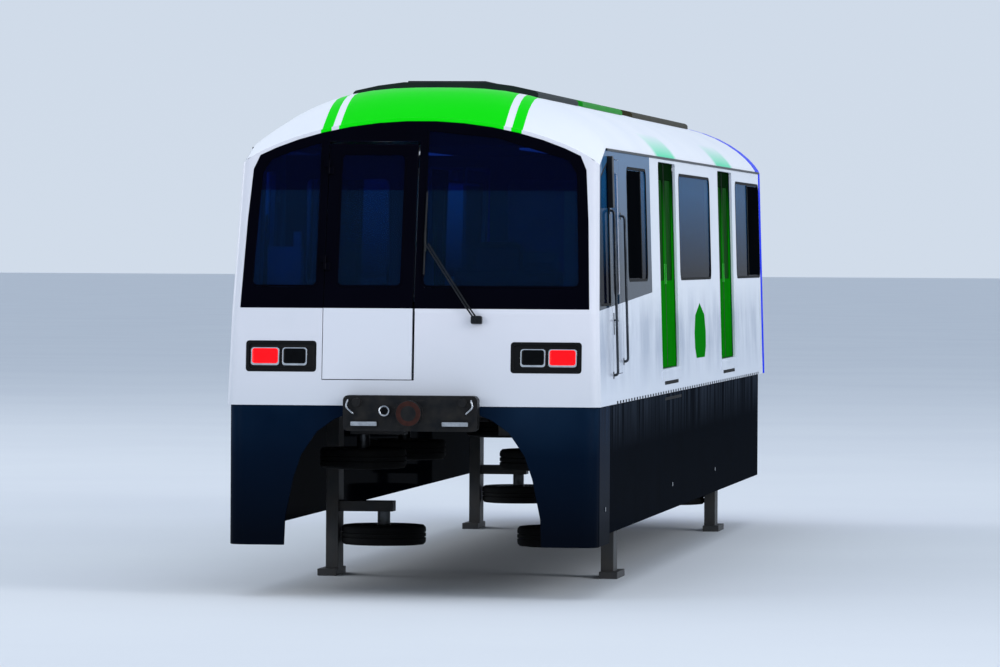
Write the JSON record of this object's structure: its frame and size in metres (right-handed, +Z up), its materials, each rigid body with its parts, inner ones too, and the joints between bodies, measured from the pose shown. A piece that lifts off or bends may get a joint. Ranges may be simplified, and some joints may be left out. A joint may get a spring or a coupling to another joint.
{
  "type": "straddle-beam monorail end car",
  "caption": "End car of a straddle-beam monorail: cab with emergency door, sliding passenger doors, skirts, and bogies whose rubber tyres run on and beside the beam.",
  "frame": {"origin": "on the centre line, midway between the two coupler faces, level with the undersides of the bogie feet", "axes": "+X across the car, +Y along it from the cab face to the gangway end, +Z up"},
  "size_m": [3.038, 16.4, 4.21],
  "materials": {
    "white_paint": "gloss",
    "navy_paint": "gloss",
    "green_paint": "gloss",
    "blue_paint": "gloss",
    "black_trim": "gloss",
    "glass": "clear, tinted",
    "tyre": "matte",
    "frame_steel": "satin",
    "cast_steel": "satin",
    "roof_grey": "satin",
    "interior_grey": "matte",
    "dark_plastic": "matte",
    "seat_fabric": "woven",
    "aluminium": "brushed",
    "lamp_red": "gloss"
  },
  "bodies": {
    "car_body": {"underframe_floor": "interior_grey", "roof": "white_paint", "front_mask": "white_paint", "windscreen_surround": "black_trim", "windscreen_left": "glass", "windscreen_right": "glass", "rear_end_wall": "white_paint", "end_fairing": "blue_paint", "skirt_front": "navy_paint", "cab_partition": "interior_grey", "driver_desk": "dark_plastic", "driver_seat": "seat_fabric", "coupler_front": "cast_steel", "coupler_rear": "cast_steel", "roof_equipment": "roof_grey", "side_wall_right": "white_paint", "cab_window_right": "glass", "forward_window_right": "glass", "saloon_window_right": "glass", "rear_window_right": "glass", "skirt_right": "navy_paint", "lamp_right": "lamp_red", "side_wall_left": "white_paint", "cab_window_left": "glass", "forward_window_left": "glass", "saloon_window_left": "glass", "rear_window_left": "glass", "skirt_left": "navy_paint", "lamp_left": "lamp_red"},
    "emergency_door": {"emergency_door": "black_trim", "emergency_door_glass": "glass"},
    "gangway_door": {"gangway_door": "aluminium"},
    "cab_door_right": {"cab_door_right": "white_paint"},
    "cab_door_left": {"cab_door_left": "white_paint"},
    "door_front_right_fore": {"door_front_right_fore": "green_paint"},
    "door_front_right_aft": {"door_front_right_aft": "green_paint"},
    "door_front_left_fore": {"door_front_left_fore": "green_paint"},
    "door_front_left_aft": {"door_front_left_aft": "green_paint"},
    "door_rear_right_fore": {"door_rear_right_fore": "green_paint"},
    "door_rear_right_aft": {"door_rear_right_aft": "green_paint"},
    "door_rear_left_fore": {"door_rear_left_fore": "green_paint"},
    "door_rear_left_aft": {"door_rear_left_aft": "green_paint"},
    "bogie_front": {"bogie_frame_front": "frame_steel"},
    "wheelset_front_fore": {"wheelset_front_fore": "tyre"},
    "guide_wheel_front_fore_right": {"guide_wheel_front_fore_right": "tyre"},
    "guide_wheel_front_fore_left": {"guide_wheel_front_fore_left": "tyre"},
    "wheelset_front_aft": {"wheelset_front_aft": "tyre"},
    "guide_wheel_front_aft_right": {"guide_wheel_front_aft_right": "tyre"},
    "guide_wheel_front_aft_left": {"guide_wheel_front_aft_left": "tyre"},
    "stabiliser_wheel_front_right": {"stabiliser_wheel_front_right": "tyre"},
    "stabiliser_wheel_front_left": {"stabiliser_wheel_front_left": "tyre"},
    "bogie_rear": {"bogie_frame_rear": "frame_steel"},
    "wheelset_rear_fore": {"wheelset_rear_fore": "tyre"},
    "guide_wheel_rear_fore_right": {"guide_wheel_rear_fore_right": "tyre"},
    "guide_wheel_rear_fore_left": {"guide_wheel_rear_fore_left": "tyre"},
    "wheelset_rear_aft": {"wheelset_rear_aft": "tyre"},
    "guide_wheel_rear_aft_right": {"guide_wheel_rear_aft_right": "tyre"},
    "guide_wheel_rear_aft_left": {"guide_wheel_rear_aft_left": "tyre"},
    "stabiliser_wheel_rear_right": {"stabiliser_wheel_rear_right": "tyre"},
    "stabiliser_wheel_rear_left": {"stabiliser_wheel_rear_left": "tyre"}
  },
  "joints": [
    {"name": "emergency_door_swing", "type": "hinge", "parent": "car_body", "child": "emergency_door", "pos_m": [-0.7425, -7.90358, 2.3034], "axis": [0, -0.2425, -0.9701], "range_deg": [0, 100]},
    {"name": "gangway_door_slide", "type": "slide", "parent": "car_body", "child": "gangway_door", "axis": [-1, 0, 0], "range_m": [0, 0.8]},
    {"name": "cab_door_right_swing", "type": "hinge", "parent": "car_body", "child": "cab_door_right", "pos_m": [1.43428, -6.0975, 1.9], "axis": [0.0306, 0, -0.9995], "range_deg": [0, 85]},
    {"name": "cab_door_left_swing", "type": "hinge", "parent": "car_body", "child": "cab_door_left", "pos_m": [-1.43428, -6.0975, 1.9], "axis": [0.0306, 0, 0.9995], "range_deg": [0, 85]},
    {"name": "door_front_right_fore_slide", "type": "slide", "parent": "car_body", "child": "door_front_right_fore", "axis": [0, -1, 0], "range_m": [0, 0.75]},
    {"name": "door_front_right_aft_slide", "type": "slide", "parent": "car_body", "child": "door_front_right_aft", "axis": [0, 1, 0], "range_m": [0, 0.75]},
    {"name": "door_front_left_fore_slide", "type": "slide", "parent": "car_body", "child": "door_front_left_fore", "axis": [0, -1, 0], "range_m": [0, 0.75]},
    {"name": "door_front_left_aft_slide", "type": "slide", "parent": "car_body", "child": "door_front_left_aft", "axis": [0, 1, 0], "range_m": [0, 0.75]},
    {"name": "door_rear_right_fore_slide", "type": "slide", "parent": "car_body", "child": "door_rear_right_fore", "axis": [0, -1, 0], "range_m": [0, 0.75]},
    {"name": "door_rear_right_aft_slide", "type": "slide", "parent": "car_body", "child": "door_rear_right_aft", "axis": [0, 1, 0], "range_m": [0, 0.75]},
    {"name": "door_rear_left_fore_slide", "type": "slide", "parent": "car_body", "child": "door_rear_left_fore", "axis": [0, -1, 0], "range_m": [0, 0.75]},
    {"name": "door_rear_left_aft_slide", "type": "slide", "parent": "car_body", "child": "door_rear_left_aft", "axis": [0, 1, 0], "range_m": [0, 0.75]},
    {"name": "bogie_front_swivel", "type": "hinge", "parent": "car_body", "child": "bogie_front", "pos_m": [0, -4.2, 1.64], "axis": [0, 0, 1], "range_deg": [-3, 3]},
    {"name": "wheelset_front_fore_spin", "type": "hinge", "parent": "bogie_front", "child": "wheelset_front_fore", "pos_m": [0, -4.95, 1.84], "axis": [1, 0, 0], "continuous": true},
    {"name": "guide_wheel_front_fore_right_spin", "type": "hinge", "parent": "bogie_front", "child": "guide_wheel_front_fore_right", "pos_m": [0.765, -5.45, 1.05], "axis": [0, 0, 1], "continuous": true},
    {"name": "guide_wheel_front_fore_left_spin", "type": "hinge", "parent": "bogie_front", "child": "guide_wheel_front_fore_left", "pos_m": [-0.765, -5.45, 1.05], "axis": [0, 0, 1], "continuous": true},
    {"name": "wheelset_front_aft_spin", "type": "hinge", "parent": "bogie_front", "child": "wheelset_front_aft", "pos_m": [0, -3.45, 1.84], "axis": [1, 0, 0], "continuous": true},
    {"name": "guide_wheel_front_aft_right_spin", "type": "hinge", "parent": "bogie_front", "child": "guide_wheel_front_aft_right", "pos_m": [0.765, -2.95, 1.05], "axis": [0, 0, 1], "continuous": true},
    {"name": "guide_wheel_front_aft_left_spin", "type": "hinge", "parent": "bogie_front", "child": "guide_wheel_front_aft_left", "pos_m": [-0.765, -2.95, 1.05], "axis": [0, 0, 1], "continuous": true},
    {"name": "stabiliser_wheel_front_right_spin", "type": "hinge", "parent": "bogie_front", "child": "stabiliser_wheel_front_right", "pos_m": [0.765, -4.2, 0.35], "axis": [0, 0, 1], "continuous": true},
    {"name": "stabiliser_wheel_front_left_spin", "type": "hinge", "parent": "bogie_front", "child": "stabiliser_wheel_front_left", "pos_m": [-0.765, -4.2, 0.35], "axis": [0, 0, 1], "continuous": true},
    {"name": "bogie_rear_swivel", "type": "hinge", "parent": "car_body", "child": "bogie_rear", "pos_m": [0, 5.4, 1.64], "axis": [0, 0, 1], "range_deg": [-3, 3]},
    {"name": "wheelset_rear_fore_spin", "type": "hinge", "parent": "bogie_rear", "child": "wheelset_rear_fore", "pos_m": [0, 4.65, 1.84], "axis": [1, 0, 0], "continuous": true},
    {"name": "guide_wheel_rear_fore_right_spin", "type": "hinge", "parent": "bogie_rear", "child": "guide_wheel_rear_fore_right", "pos_m": [0.765, 4.15, 1.05], "axis": [0, 0, 1], "continuous": true},
    {"name": "guide_wheel_rear_fore_left_spin", "type": "hinge", "parent": "bogie_rear", "child": "guide_wheel_rear_fore_left", "pos_m": [-0.765, 4.15, 1.05], "axis": [0, 0, 1], "continuous": true},
    {"name": "wheelset_rear_aft_spin", "type": "hinge", "parent": "bogie_rear", "child": "wheelset_rear_aft", "pos_m": [0, 6.15, 1.84], "axis": [1, 0, 0], "continuous": true},
    {"name": "guide_wheel_rear_aft_right_spin", "type": "hinge", "parent": "bogie_rear", "child": "guide_wheel_rear_aft_right", "pos_m": [0.765, 6.65, 1.05], "axis": [0, 0, 1], "continuous": true},
    {"name": "guide_wheel_rear_aft_left_spin", "type": "hinge", "parent": "bogie_rear", "child": "guide_wheel_rear_aft_left", "pos_m": [-0.765, 6.65, 1.05], "axis": [0, 0, 1], "continuous": true},
    {"name": "stabiliser_wheel_rear_right_spin", "type": "hinge", "parent": "bogie_rear", "child": "stabiliser_wheel_rear_right", "pos_m": [0.765, 5.4, 0.35], "axis": [0, 0, 1], "continuous": true},
    {"name": "stabiliser_wheel_rear_left_spin", "type": "hinge", "parent": "bogie_rear", "child": "stabiliser_wheel_rear_left", "pos_m": [-0.765, 5.4, 0.35], "axis": [0, 0, 1], "continuous": true}
  ],
  "couplings": [
    {"joint": "door_front_right_fore_slide", "follows": "door_front_right_aft_slide", "ratio": 1},
    {"joint": "door_front_left_fore_slide", "follows": "door_front_left_aft_slide", "ratio": 1},
    {"joint": "door_rear_right_fore_slide", "follows": "door_rear_right_aft_slide", "ratio": 1},
    {"joint": "door_rear_left_fore_slide", "follows": "door_rear_left_aft_slide", "ratio": 1}
  ]
}
